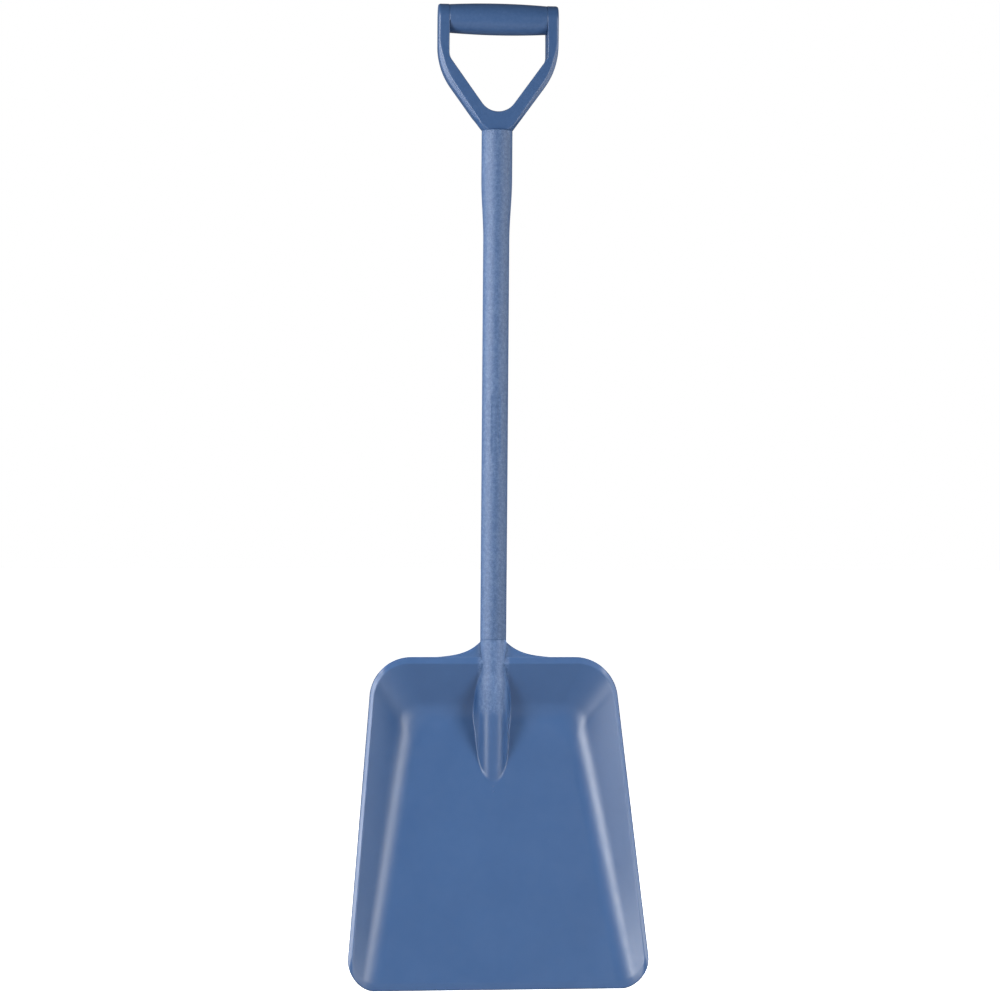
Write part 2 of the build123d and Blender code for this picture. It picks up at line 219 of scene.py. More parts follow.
# moulded polypropylene: soft drift in colour, faint flow marks, pale rubbed edges and a moulded grain
def makePlastic(name, grain, grainFrom=None, polish=None):
    material, nodes, links, shader = newMaterial(name)
    coordinate = nodes.new("ShaderNodeTexCoord").outputs["Object"]
    polish = plastic["polish"] if polish is None else polish

    cloud = addNoise(nodes, links, coordinate, plastic["cloudSize"], 3)
    flow = addNoise(nodes, links, coordinate, plastic["flowSize"], 5)
    drift = addMath(nodes, links, "ADD", addMath(nodes, links, "MULTIPLY", cloud, 0.7),
                    addMath(nodes, links, "MULTIPLY", flow, 0.3))
    drift = addRange(nodes, links, drift, 0.3, 0.7, 0.0, 1.0)
    colour = addMix(nodes, links, drift, plastic["darker"], plastic["paler"])
    colour = addMix(nodes, links, 0.55, colour, plastic["colour"])

    grainNoise = addNoise(nodes, links, coordinate, plastic["grainSize"], 4, 0.6)
    blotches = addNoise(nodes, links, coordinate, plastic["grainSize"] / 3.2, 3, 0.6)
    both = addMath(nodes, links, "ADD", addMath(nodes, links, "MULTIPLY", grainNoise, 0.5),
                   addMath(nodes, links, "MULTIPLY", blotches, 0.5))
    mottle = addRange(nodes, links, both, 0.43, 0.64, 0.0, 1.0)
    amount = grain
    if grainFrom is not None:                 # grain only above a height on the front of the socket
        separate = nodes.new("ShaderNodeSeparateXYZ")
        links.new(coordinate, separate.inputs["Vector"])
        above = addRange(nodes, links, separate.outputs["Z"], grainFrom["low"], grainFrom["high"], 0.0, 1.0)
        across = addMath(nodes, links, "ABSOLUTE", separate.outputs["X"], 0.0)
        inside = addRange(nodes, links, across, grainFrom["half"], grainFrom["half"] - 0.0025, 0.0, 1.0)
        front = grainFrom["front"]
        deep = addRange(nodes, links, separate.outputs["Y"], front, front + 0.002, 0.0, 1.0)
        amount = addMath(nodes, links, "MULTIPLY", above, inside)
        amount = addMath(nodes, links, "MULTIPLY", amount, addMath(nodes, links, "SUBTRACT", 1.0, deep))
        amount = addMath(nodes, links, "MULTIPLY", amount, grain)
    mottleAmount = addMath(nodes, links, "MULTIPLY", mottle, amount)
    paleGrain = addMath(nodes, links, "MULTIPLY", mottleAmount, plastic["mottleShow"])
    colour = addMix(nodes, links, paleGrain, colour, plastic["worn"])

    edge = nodes.new("ShaderNodeNewGeometry").outputs["Pointiness"]
    rubbed = addRange(nodes, links, edge, 0.53, 0.62, 0.0, plastic["rubbedShow"])
    scratch = addNoise(nodes, links, coordinate, plastic["scratchSize"], 4)
    patchy = addRange(nodes, links, scratch, 0.4, 0.62, 0.2, 1.0)
    rubbed = addMath(nodes, links, "MULTIPLY", rubbed, patchy)
    colour = addMix(nodes, links, rubbed, colour, plastic["worn"])
    links.new(colour, shader.inputs["Base Color"])

    rough = addRange(nodes, links, flow, 0.3, 0.7, polish - 0.03, polish + 0.05)
    grainGain = plastic["grainRough"] - plastic["polish"]
    rough = addMath(nodes, links, "ADD", rough, addMath(nodes, links, "MULTIPLY", amount, grainGain))
    links.new(rough, shader.inputs["Roughness"])

    peel = addNoise(nodes, links, coordinate, plastic["peelSize"], 2)
    normal = addBump(nodes, links, peel, 0.00003, 0.25)
    normal = addBump(nodes, links, grainNoise, 0.0005, amount, normal)
    links.new(normal, shader.inputs["Normal"])
    shader.inputs["IOR"].default_value = 1.49
    shader.inputs["Specular IOR Level"].default_value = plastic["sheen"]
    return material


def makeMetal(name, colour, roughness, brushed):        # drawn or plated, with fine lines and a slight stain
    material, nodes, links, shader = newMaterial(name)
    coordinate = nodes.new("ShaderNodeTexCoord").outputs["Object"]
    mapping = nodes.new("ShaderNodeMapping")
    mapping.inputs["Scale"].default_value = brushed
    links.new(coordinate, mapping.inputs["Vector"])
    lines = addNoise(nodes, links, mapping.outputs["Vector"], 800.0, 4)
    stain = addNoise(nodes, links, coordinate, 60.0, 4)
    darker = tuple(c * 0.72 for c in colour)
    links.new(addMix(nodes, links, addRange(nodes, links, stain, 0.35, 0.65, 0.0, 1.0), colour, darker),
              shader.inputs["Base Color"])
    rough = addRange(nodes, links, lines, 0.3, 0.7, roughness - 0.07, roughness + 0.1)
    links.new(rough, shader.inputs["Roughness"])
    links.new(addBump(nodes, links, lines, 0.00004, 0.3), shader.inputs["Normal"])
    shader.inputs["Metallic"].default_value = 1.0
    return material


def makeBlack(name):                                    # plug plastic with a fine spark-eroded grain
    material, nodes, links, shader = newMaterial(name)
    coordinate = nodes.new("ShaderNodeTexCoord").outputs["Object"]
    grain = addNoise(nodes, links, coordinate, 1500.0, 3)
    cloud = addNoise(nodes, links, coordinate, 80.0, 3)
    links.new(addMix(nodes, links, cloud, (0.012, 0.012, 0.013), (0.03, 0.03, 0.032)), shader.inputs["Base Color"])
    links.new(addRange(nodes, links, grain, 0.3, 0.7, 0.42, 0.6), shader.inputs["Roughness"])
    links.new(addBump(nodes, links, grain, 0.0001, 0.4), shader.inputs["Normal"])
    return material


socketGrain = {"low": 0.296, "high": 0.303, "half": 0.0192, "front": shaftY * mm - 0.001}
bladePlastic = makePlastic("bladePlastic", 0.9, socketGrain)
shaftPlastic = makePlastic("shaftPlastic", 0.9)
handlePlastic = makePlastic("handlePlastic", 0.12)
gripPlastic = makePlastic("gripPlastic", 0.2)
tubeMetal = makeMetal("drawnAluminium", (0.72, 0.73, 0.74), 0.32, (1, 1, 0.03))
rodMetal = makeMetal("turnedSteel", (0.55, 0.55, 0.56), 0.28, (0.05, 1, 1))
screwMetal = makeMetal("platedSteel", (0.62, 0.62, 0.60), 0.30, (1, 1, 1))
plugPlastic = makeBlack("plugPlastic")


# blade

blade = {
    "length": 374.7,
    "rimHalfTop": 139.6,
    "width": 336.0,
    "topCorner": 49.0,
    "mouthCorner": 31.0,
    "wall": 4.2,
    "lean": 23.0,
    "rimLean": 18.0,
    "rimHeight": 13.5,
    "lip": 5.0,
    "lipTop": 8.5,
    "lipThickness": 3.6,
    "lipFall": 0.50,         # the lip slopes outwards a little along the sides
    "lipFallTop": 0.12,      # and hardly across the top
    "crest": 0.7,            # softness of the crest inside the lip
    "edge": 1.25,            # radius of the outer edge
    "footRadius": 40.0,
    "slope": 45.0,           # of the walls, which flatten towards the mouth
    "slopeMouth": 32.0,
    "slopeUpTo": 250.0,
    "cornerLow": 24.0,       # plan radius of the wall corners, at the floor and at the rim
    "cornerHigh": 37.0,
    "mouthBevel": 8.0,
    "mouthDrop": 1.5,
    "socket": 18.0,
    "socketNeck": 15.1,
    "flare": (322.0, 358.0),
    "draft": 12.0,
    "spineLength": 150.0,
    "spineEnd": 7.0,
    "axisCross": 262.5,
    "patchStart": 34.0,      # the even grid of the floor begins this far above the mouth
    "outerColumns": 40,
}

lean = math.radians(blade["lean"])
sinLean, cosLean = math.sin(lean), math.cos(lean)
rimRise = math.tan(math.radians(blade["lean"] - blade["rimLean"]))
widestAt = blade["mouthCorner"] * 1.15
rimNarrowing = (blade["width"] / 2 - blade["rimHalfTop"]) / (blade["length"] - widestAt)
rimHalfMouth = blade["width"] / 2 + widestAt * rimNarrowing
crestTop = blade["length"] - blade["lipTop"]
footBack = crestTop - (blade["rimHeight"] + rimRise * crestTop)
spineRoot = shaftY * sinLean + blade["axisCross"] * cosLean


def rimLevel(v):
    return blade["rimHeight"] + rimRise * v


def slopeAt(v):
    share = np.clip(v / blade["slopeUpTo"], 0, 1)
    return np.radians(blade["slopeMouth"] + (blade["slope"] - blade["slopeMouth"]) * share * (1.6 - 0.6 * share))


def footHalf(v):
    return rimHalfMouth - rimNarrowing * v - blade["lip"] - rimLevel(v) / np.tan(slopeAt(v))


def socketRadius(z):
    low, high = blade["flare"]
    return blade["socket"] + (blade["socketNeck"] - blade["socket"]) * fade(z, low, high)


# distance outwards from the walls' foot, rounded in the corners
def wallRun(u, v):
    a, b = np.abs(u) - footHalf(v), v - footBack
    run = np.maximum(a, b)
    for _ in range(4):
        r = blade["cornerLow"] + (blade["cornerHigh"] - blade["cornerLow"]) * np.clip(run / 46, 0, 1)
        gap = np.abs(a - b)
        arc = (a + b) / 2 + r - 0.5 * np.sqrt(np.maximum(2 * r * r - gap * gap, 0))
        run = np.where(gap < r, arc, np.maximum(a, b))
    return run


# height of the front surface, or of the back one when grown by the wall
def wallHeight(d, v, grow):
    radius, angle = blade["footRadius"] + grow, slopeAt(v)
    x = d + blade["footRadius"] * np.tan(angle / 2)
    bend = blade["footRadius"] - np.sqrt(np.maximum(radius * radius - x * x, 0))
    slope = d * np.tan(angle) - grow / np.cos(angle)
    return np.where(x < 0, -grow, np.where(x < radius * np.sin(angle), bend, slope))


def barrel(u, v, side, trim):                           # height of the socket's front (side 1) or back (side -1)
    w = np.zeros_like(u) + 20.0
    steep = math.sin(math.radians(90 - blade["draft"]))
    for _ in range(6):
        z = v * cosLean + (w + blade["wall"] / 2) * sinLean
        r = socketRadius(z) - trim
        flat = np.abs(u) < r * steep
        p = np.sqrt(np.maximum(r * r - u * u, (r * (1 - steep * steep) ** 0.5) ** 2))
        skirt = r * math.sqrt(1 - steep * steep) - (np.abs(u) - r * steep) / math.tan(math.radians(blade["draft"]))
        p = np.where(flat, p, skirt)
        w = (v * sinLean - shaftY + side * p) / cosLean - blade["wall"] / 2
    return w


def frontHeight(u, v, mouth):
    wall = wallHeight(wallRun(u, v), v, 0.0)
    across = fade((v - footBack) - (np.abs(u) - footHalf(v)), -8, 8)
    fall = blade["lipFall"] + (blade["lipFallTop"] - blade["lipFall"]) * across
    w = smoothMin(wall, rimLevel(v) - fall * np.maximum(wall - rimLevel(v), 0), blade["crest"]) - mouth
    trim = 0.3 * fade(v, 340, 356)
    soft = 0.8 + 6.5 * fade(v, 298, 318) * (1 - fade(v, 338, 356))
    post = barrel(u, v, 1, trim)
    near = np.abs(u) < 34
    return np.where(near, smoothMax(w, post, soft), w)


def backHeight(u, v):
    w = smoothMin(wallHeight(wallRun(u, v), v, blade["wall"]), rimLevel(v) - blade["lipThickness"], 1.0)
    t = np.clip((spineRoot - v) / blade["spineLength"], 0, None)
    r = blade["socket"] - 0.2 + (blade["spineEnd"] - blade["socket"] + 0.2) * np.clip(t, 0, 1)
    past = np.maximum((t - 1) * blade["spineLength"], 0)
    r = np.sqrt(np.maximum(r * r - past * past, 0.01))
    steep = math.sin(math.radians(90 - blade["draft"]))
    across = np.abs(u)
    skirt = r * math.sqrt(1 - steep * steep) - (across - r * steep) / math.tan(math.radians(blade["draft"]))
    cone = -np.where(across < r * steep, np.sqrt(np.maximum(r * r - u * u, 0)), skirt)
    ball = -np.sqrt(np.maximum(blade["socket"] ** 2 - u * u - (v - spineRoot) ** 2, 0))
    trim = 0.3 * fade(v, 340, 356)
    post = barrel(u, v, -1, trim)
    z = v * cosLean + (post + blade["wall"] / 2) * sinLean
    rounded = (z < blade["axisCross"]) & (v < spineRoot + 10)
    ridge = np.where(v < spineRoot, cone, np.where(rounded, np.minimum(ball, post + 2), post))
    near = across < 40
    return np.where(near, smoothMin(w, ridge, 5.0 - 3.5 * fade(v, 352, 366)), w)


def cornerCentre(radius, v):                            # on a line parallel to the side, one radius inside it
    return rimHalfMouth - rimNarrowing * v - radius / math.cos(math.atan(rimNarrowing)), v


def bladePath():
    mr, tr = blade["mouthCorner"], blade["topCorner"]
    mouthCentre, topCentre = cornerCentre(mr, mr), cornerCentre(tr, blade["length"] - tr)
    sideNormal = math.degrees(math.atan(rimNarrowing))
    inner = np.concatenate([np.arange(0, 12, 1.5), np.arange(12, 22.1, 0.7), np.arange(23, 31, 1.5)])
    outer = blade["outerColumns"]
    midMouth = (-90 + sideNormal) / 2
    midTop = (90 + sideNormal) / 2

    def arc(centre, radius, angles):
        a = np.radians(angles)
        outwards = np.stack([np.cos(a), np.sin(a)], 1)
        return np.stack([centre[0] + radius * np.cos(a), centre[1] + radius * np.sin(a)], 1), -outwards

    def evenly(points, normals, weights, count):
        step = np.concatenate([[0], np.cumsum(np.linalg.norm(np.diff(points, axis=0), axis=1))])
        at = np.linspace(0, step[-1], count)
        out = np.stack([np.interp(at, step, points[:, k]) for k in range(2)], 1)
        nor = np.stack([np.interp(at, step, normals[:, k]) for k in range(2)], 1)
        nor /= np.linalg.norm(nor, axis=1)[:, None]
        return out, nor, np.interp(at, step, weights)

    # mouth: constant columns, then evenly to the middle of the corner
    linePoints = np.stack([inner, inner * 0], 1)
    lineNormals = np.tile([0.0, 1.0], (len(inner), 1))
    fine = np.linspace(-90, midMouth, 60)
    a, n = arc(mouthCentre, mr, fine)
    run = np.concatenate([np.stack([np.linspace(inner[-1], mouthCentre[0], 60), np.zeros(60)], 1)[:-1], a])
    runN = np.concatenate([np.tile([0.0, 1.0], (59, 1)), n])
    weight = np.concatenate([np.ones(59), np.linspace(1, 0.5, 60)])
    p, q, m = evenly(run, runN, weight, outer + 1)
    bottom = (np.concatenate([linePoints, p[1:]]), np.concatenate([lineNormals, q[1:]]),
              np.concatenate([np.ones(len(inner)), m[1:]]))

    # side, from the middle of one corner to the middle of the other
    low, lowN = arc(mouthCentre, mr, np.linspace(midMouth, sideNormal, 60))
    high, highN = arc(topCentre, tr, np.linspace(sideNormal, midTop, 60))
    n0 = np.array([-math.cos(math.radians(sideNormal)), -math.sin(math.radians(sideNormal))])
    line = np.stack([np.linspace(low[-1][k], high[0][k], 200) for k in range(2)], 1)[1:-1]
    side = np.concatenate([low, line, high])
    sideN = np.concatenate([lowN, np.tile(n0, (len(line), 1)), highN])
    weight = np.concatenate([np.linspace(0.5, 0, 60), np.zeros(len(line) + 60)])

    # top, from the middle of the corner back to the middle line
    last, lastN = arc(topCentre, tr, np.linspace(midTop, 90, 60))
    straight = np.stack([np.linspace(topCentre[0], inner[-1], 60), np.full(60, blade["length"])], 1)
    run = np.concatenate([last, straight[1:]])
    runN = np.concatenate([lastN, np.tile([0.0, -1.0], (59, 1))])
    p, q, _ = evenly(run, runN, np.zeros(len(run)), outer + 1)
    topPoints = np.concatenate([p[:-1], np.stack([inner[::-1], np.full(len(inner), blade["length"])], 1)])
    topNormals = np.concatenate([q[:-1], np.tile([0.0, -1.0], (len(inner), 1))])

    # rows
    bottomIn = blade["patchStart"]
    topIn = footBack - 24
    rows = np.concatenate([np.arange(bottomIn, 128, 4.0), np.arange(128, 228, 2.5),
                           np.arange(228, topIn - 0.5, 1.6), [topIn]])
    share = (rows - rows[0]) / (rows[-1] - rows[0])
    step = np.concatenate([[0], np.cumsum(np.linalg.norm(np.diff(side, axis=0), axis=1))])
    at = share * step[-1]
    sidePoints = np.stack([np.interp(at, step, side[:, k]) for k in range(2)], 1)
    sideNormals = np.stack([np.interp(at, step, sideN[:, k]) for k in range(2)], 1)
    sideNormals /= np.linalg.norm(sideNormals, axis=1)[:, None]
    sideWeights = np.interp(at, step, weight)

    points = np.concatenate([bottom[0], sidePoints[1:-1], topPoints])
    normals = np.concatenate([bottom[1], sideNormals[1:-1], topNormals])
    mouth = np.concatenate([bottom[2], sideWeights[1:-1], np.zeros(len(topPoints))])

    # inner loop and the patch inside it
    half = footHalf(rows) - 22
    cols = np.concatenate([inner, inner[-1] + (np.arange(1, outer + 1) / outer) * 1.0])
    patch = np.zeros((len(rows), len(cols), 2))
    for i, v in enumerate(rows):
        patch[i, :len(inner), 0] = inner
        patch[i, len(inner):, 0] = inner[-1] + (half[i] - inner[-1]) * np.arange(1, outer + 1) / outer
        patch[i, :, 1] = v
    loop = np.concatenate([patch[0], patch[1:-1, -1], patch[-1][::-1]])
    return points, normals, mouth, loop, patch


def toWorld(u, v, w):
    depth = w + blade["wall"] / 2
    return np.stack([u, v * sinLean - depth * cosLean, v * cosLean + depth * sinLean], -1)


def makeBlade():
    points, normals, mouthShare, loop, patch = bladePath()
    # how far inside the outline the crest of the lip lies
    reach = np.arange(0, 16, 0.05)
    u = points[:, :1] + normals[:, :1] * reach
    v = points[:, 1:] + normals[:, 1:] * reach
    over = wallHeight(wallRun(u, v), v, 0.0) > rimLevel(v)
    crest = np.where(over[:, 0], np.argmin(over, axis=1) * 0.05, 0.0)
    blend = fade(mouthShare, 0.0, 0.45)
    crest = crest * (1 - blend) + blade["mouthBevel"] * blend
    crest = np.maximum(crest, 3.6)
    r = blade["edge"]
    rounding = r * (1 - np.cos(np.radians(np.array([0, 20, 40, 60, 75, 90]))))
    around = np.array([-1.2, -0.7, -0.3, 0.0, 0.3, 0.7, 1.2, 2.2, 3.6])
    rings = [np.full(len(points), s) for s in rounding]
    rings.append((rounding[-1] + crest - 1.2) / 2)
    rings += [crest + s for s in around]
    distances = np.stack(rings, 0)
    near = points[None] + normals[None] * distances[..., None]
    inward = np.linspace(0, 1, 34)[1:]
    far = near[-1][None] * (1 - inward[:, None, None]) + loop[None] * inward[:, None, None]
    uv = np.concatenate([near, far])
    span = np.linalg.norm(loop - near[-1], axis=1)
    inset = np.concatenate([distances, distances[-1][None] + inward[:, None] * span[None]])
    bevel = blade["mouthBevel"]
    ramp = (1 - fade(inset, bevel - 3.5, bevel + 1) * 0.6) * np.clip(1 - inset / (bevel + 1.0), 0, 1)
    mouth = blade["mouthDrop"] * mouthShare[None] * ramp
    drop = edgeDrop(inset, r)
    front = frontHeight(uv[..., 0], uv[..., 1], mouth + drop)
    back = backHeight(uv[..., 0], uv[..., 1]) + drop
    shell = Shell()
    for sign in (1, -1):
        frontGrid = toWorld(sign * uv[..., 0], uv[..., 1], front)
        backGrid = toWorld(sign * uv[..., 0], uv[..., 1], back)
        shell.grid(frontGrid)
        shell.grid(backGrid)
        shell.grid(np.stack([frontGrid[0], backGrid[0]]))
        pu, pv = patch[..., 0], patch[..., 1]
        shell.grid(toWorld(sign * pu, pv, frontHeight(pu, pv, 0 * pu)))
        shell.grid(toWorld(sign * pu, pv, backHeight(pu, pv)))
    return shell


socketTop = {"bottom": 330.0, "top": 383.0, "bore": 11.2, "edge": 0.15, "sides": 96}


def addSocketTop(shell):                                # a full barrel that rises out of the rim round the shaft
    bottom, top, bore, sides = (socketTop[k] for k in ("bottom", "top", "bore", "sides"))
    heights = np.concatenate([np.arange(bottom, top - 0.8, 1.6), [top - 0.3, top - 0.1, top]])
    angles = np.linspace(0, 2 * math.pi, sides + 1)[:-1]
    trim = 0.3 * (1 - fade(heights, 345, 350))
    r = socketRadius(heights) - trim - edgeDrop(top - heights, socketTop["edge"])

    def ring(radius, z):
        return np.stack([radius * np.cos(angles), shaftY + radius * np.sin(angles), np.full(sides, z)], 1)

    rings = [ring(radius, z) for radius, z in zip(r, heights)] + [ring(bore, top), ring(bore, bottom)]
    rings.append(rings[0])
    shell.grid(np.stack(rings), closed=True)


wing = {
    "root": 5.5, "rise": 21.0, "inner": 12.5, "reach": 73.0, "thickness": 5.0, "setback": 1.2, "edge": 1.6,
    "startPull": (52.0, -62.0), "endPull": (60.0, -9.0),
}


# webs from the rim to the shaft's flanks, in the plane of the rim
def addWings(shell):
    rimAngle = math.radians(blade["rimLean"])
    rimDepth = blade["rimHeight"] + blade["wall"] / 2
    origin = np.array([0, -rimDepth * cosLean, rimDepth * sinLean])
    along = np.array([0, math.sin(rimAngle), math.cos(rimAngle)])
    out = np.array([0, -math.cos(rimAngle), math.sin(rimAngle)])
    rimTop = blade["length"] / math.cos(lean - rimAngle)
    t = np.linspace(0, 1, 40)
    x0, y0, x1, y1 = wing["inner"], rimTop + wing["rise"], wing["reach"], rimTop - 1
    m0, m1 = wing["startPull"], wing["endPull"]
    h = [2 * t**3 - 3 * t**2 + 1, t**3 - 2 * t**2 + t, -2 * t**3 + 3 * t**2, t**3 - t**2]
    x = h[0] * x0 + h[1] * m0[0] + h[2] * x1 + h[3] * m1[0]
    y = h[0] * y0 + h[1] * m0[1] + h[2] * y1 + h[3] * m1[1]
    low = rimTop - wing["root"]
    e, half = wing["edge"], wing["thickness"] / 2
    bend = np.radians(np.linspace(0, 90, 6))
    section = [(-half, None, 0)] + [(-half + e * (1 - math.cos(b)), e * (1 - math.sin(b)), 1) for b in bend]
    section += [(-s[0], s[1], s[2]) for s in section[::-1]]
    mid = -wing["setback"] - half
    for sign in (1, -1):
        grid = []
        for depth, under, top in section:
            yy = np.maximum(y - under, low + 0.2) if top else np.full_like(y, low)
            sideways = np.array([sign, 0, 0]) * x[:, None]
            grid.append(origin + along * yy[:, None] + out * (mid + depth) + sideways)
        grid = np.stack(grid)
        shell.grid(np.concatenate([grid, grid[:1]]))
        for end in (0, -1):
            ring = grid[:, end]
            shell.fan(ring, ring.mean(0))


gateMarks = {"places": (232.5, 226.5), "radius": 1.2, "height": 0.8, "sunk": 0.2, "foot": -0.6}


def addGateMarks(shell):                                # two small pips below the socket's nose
    angles = np.linspace(0, 2 * math.pi, 17)[:-1]
    for v in gateMarks["places"]:
        rings = []
        for share in (1.0, 0.85, 0.6, 0.3):
            r = gateMarks["radius"] * share
            w = np.full(16, gateMarks["height"] * (1 - share * share) - gateMarks["sunk"])
            rings.append(toWorld(r * np.cos(angles), v + r * np.sin(angles), w))
        shell.grid(np.stack(rings), closed=True)
        shell.fan(rings[-1], rings[-1].mean(0))
        shell.fan(rings[0], toWorld(np.zeros(1), np.full(1, v), np.full(1, gateMarks["foot"]))[0])


bladeShell = makeBlade()
addGateMarks(bladeShell)
addSocketTop(bladeShell)
addWings(bladeShell)
bladePiece = bladeShell.make("bladeMoulding", bladePlastic)
finishPiece(bladePiece, "blade_plastic", "blade")
print("blade made")


# yoke of the D-grip

yoke = {
    "seam": 970.0,
    "collar": 17.8,
    "half": 69.0,
    "openingHalf": 56.5,
    "openingBottom": 990.9,
    "tip": 22.7,
    "lean": 36.0,
    "shoulder": 78.0,
    "elbow": 15.0,
    "depth": 14.0,
    "lug": 16.5,
    "bevel": 5.2,
    "lugEdge": 1.2,
    "innerEdge": 1.4,
}


def filletLine(points, radii):                          # a polyline with rounded corners
    out = [np.array(points[0], float)]
    for k in range(1, len(points) - 1):
        a, b, c = (np.array(points[k + s], float) for s in (-1, 0, 1))
        d0, d1 = (a - b) / np.linalg.norm(a - b), (c - b) / np.linalg.norm(c - b)
        turn = math.acos(max(-1, min(1, float(d0 @ d1))))
        r = radii[k - 1]
        if r <= 0:
            out.append(b)
            continue
        t = r / math.tan(turn / 2)
        centre = b + (d0 + d1) / np.linalg.norm(d0 + d1) * r / math.sin(turn / 2)
        p, q = b + d0 * t - centre, b + d1 * t - centre
        a0, a1 = math.atan2(p[1], p[0]), math.atan2(q[1], q[0])
        if a1 - a0 > math.pi:
            a1 -= 2 * math.pi
        if a0 - a1 > math.pi:
            a1 += 2 * math.pi
        for s in np.linspace(a0, a1, 40):
            out.append(centre + r * np.array([math.cos(s), math.sin(s)]))
    out.append(np.array(points[-1], float))
    line = np.stack(out)
    step = np.concatenate([[0], np.cumsum(np.linalg.norm(np.diff(line, axis=0), axis=1))])
    keep = np.concatenate([[True], np.diff(step) > 1e-9])
    return line[keep], step[keep]


def alongLine(line, step, share):
    at = np.asarray(share) * step[-1]
    return np.stack([np.interp(at, step, line[:, k]) for k in range(2)], 1)


def makeYoke():
    g = yoke
    leanLeg = math.radians(g["lean"])
    apex = g["openingBottom"] - g["tip"] * (1 / math.sin(leanLeg) - 1)
    elbowZ = apex + g["openingHalf"] / math.tan(leanLeg)
    shoulderZ = g["seam"] + (g["half"] - g["collar"]) / math.tan(leanLeg)
    tipCentre = g["openingBottom"] + g["tip"]
    # inner line: from the bottom of the opening up to the level of the crossbar
    bottomAngles = np.linspace(-90, -g["lean"], 24)
    arcPoints = np.stack([g["tip"] * np.cos(np.radians(bottomAngles)),
                          tipCentre + g["tip"] * np.sin(np.radians(bottomAngles))], 1)
    legInner, innerStep = filletLine([tuple(arcPoints[-1]), (g["openingHalf"], elbowZ),
                                      (g["openingHalf"], gripZ)], [g["elbow"]])
    legOuter, outerStep = filletLine([(g["collar"], g["seam"]), (g["half"], shoulderZ),
                                      (g["half"], gripZ)], [g["shoulder"]])
    seamCount, legCount = 24, 84
    share = np.linspace(0, 1, legCount)
    inner = np.concatenate([arcPoints, alongLine(legInner, innerStep, share)[1:]])
    outer = np.concatenate([np.stack([np.linspace(0, g["collar"], seamCount), np.full(seamCount, g["seam"])], 1),
                            alongLine(legOuter, outerStep, share)[1:]])
    onSeam = np.concatenate([np.ones(seamCount), np.zeros(legCount - 1)])
    outerEdge = np.array([0, 0.25, 0.7, 1.5, 2.6, 3.7, 4.6, 5.2, 5.9, 6.8])
    innerEdge = np.array([0, 0.12, 0.35, 0.75, 1.4, 2.2])
    length = np.linalg.norm(outer - inner, axis=1)
    scaleOuter = np.minimum(1, length / 13)
    positions = []
    for k in range(len(innerEdge)):
        positions.append(innerEdge[k] / length * scaleOuter)
    firstIn, lastOut = positions[-1], 1 - outerEdge[-1] / length * scaleOuter
    for k in range(1, 5):
        positions.append(firstIn + (lastOut - firstIn) * k / 5)
    for s in outerEdge[::-1]:
        positions.append(1 - s / length * scaleOuter)
    across = np.stack(positions)                        # (across, station)
    point = inner[None] * (1 - across[..., None]) + outer[None] * across[..., None]
    toInner = across * length
    toOuter = (1 - across) * length
    x, z = point[..., 0], point[..., 1]
    bevel = g["bevel"] + (g["lugEdge"] - g["bevel"]) * fade(z, 1046, 1072)
    bevel = bevel * (1 - onSeam[None]) * fade(z, g["seam"] - 1, g["seam"] + 10) + 0.001
    fall = smoothMax(0 * toOuter, bevel - toOuter, 1.6)
    fall = fall + 0.5 * edgeDrop(toOuter, 0.9)
    fall = fall + edgeDrop(toInner, g["innerEdge"]) * (1 - 0.8 * fade(z, 1070, 1084))
    depth = g["depth"] + (g["lug"] - g["depth"]) * (z - g["seam"]) / (gripZ - g["seam"])
    cone = np.sqrt(np.maximum((g["collar"] + 0.95 * (z - g["seam"])) ** 2 - x * x, 0.0))
    front = smoothMin(depth, cone, 1.5)
    front = np.where(z < g["seam"] + 0.01, np.minimum(cone, depth), front)
    front = np.maximum(front - fall, 0.05)
    # lug: the same section turned round the crossbar's line
    turn = np.radians(np.linspace(0, 90, 26))
    lugRadius = front[:, -1]
    lugX = x[:, -1]
    lugZ = gripZ + lugRadius[:, None] * np.sin(turn)[None]
    lugY = lugRadius[:, None] * np.cos(turn)[None]
    lugX = np.repeat(lugX[:, None], len(turn), 1)
    allX = np.concatenate([x, lugX[:, 1:]], 1)
    allZ = np.concatenate([z, lugZ[:, 1:]], 1)
    allY = np.concatenate([front, lugY[:, 1:]], 1)
    shell = Shell()
    for sideSign in (1, -1):
        def sheet(depthSign):
            return np.stack([sideSign * allX, shaftY + depthSign * allY, allZ], -1)
        front3, back3 = sheet(-1), sheet(1)
        shell.grid(front3)
        shell.grid(back3)
        for edge in (0, -1):                            # inner and outer walls
            steps = np.linspace(0, 1, 9)[:, None, None]
            shell.grid(front3[edge][None] * (1 - steps) + back3[edge][None] * steps)
    return shell


yokePiece = makeYoke().make("gripYoke", handlePlastic)
finishPiece(yokePiece, "handle_plastic", "d_handle")
print("yoke made")


# turned bars, by Geometry Nodes

shaftBar = {
    "Start": shaftBottom * mm, "End": collarTop * mm, "Radius": 0.0151, "Collar Radius": 0.0178,
    "Taper Start": 0.845, "Taper End": 0.914, "Belly": 0.0, "Edge": 0.0002,
    "Panel Low": 0.596, "Panel High": 0.666, "Panel Half Width": 0.0055, "Panel Depth": 0.0006,
    "Sides": 112, "Rings": 480,
}
gripBar = {
    "Start": -0.0564, "End": 0.0564, "Radius": 0.0162, "Collar Radius": 0.0162,
    "Taper Start": 0.0, "Taper End": 0.01, "Belly": 0.0018, "Edge": 0.0003,
    "Panel Low": 0.0, "Panel High": 0.001, "Panel Half Width": 0.001, "Panel Depth": 0.0,
    "Sides": 112, "Rings": 120,
}


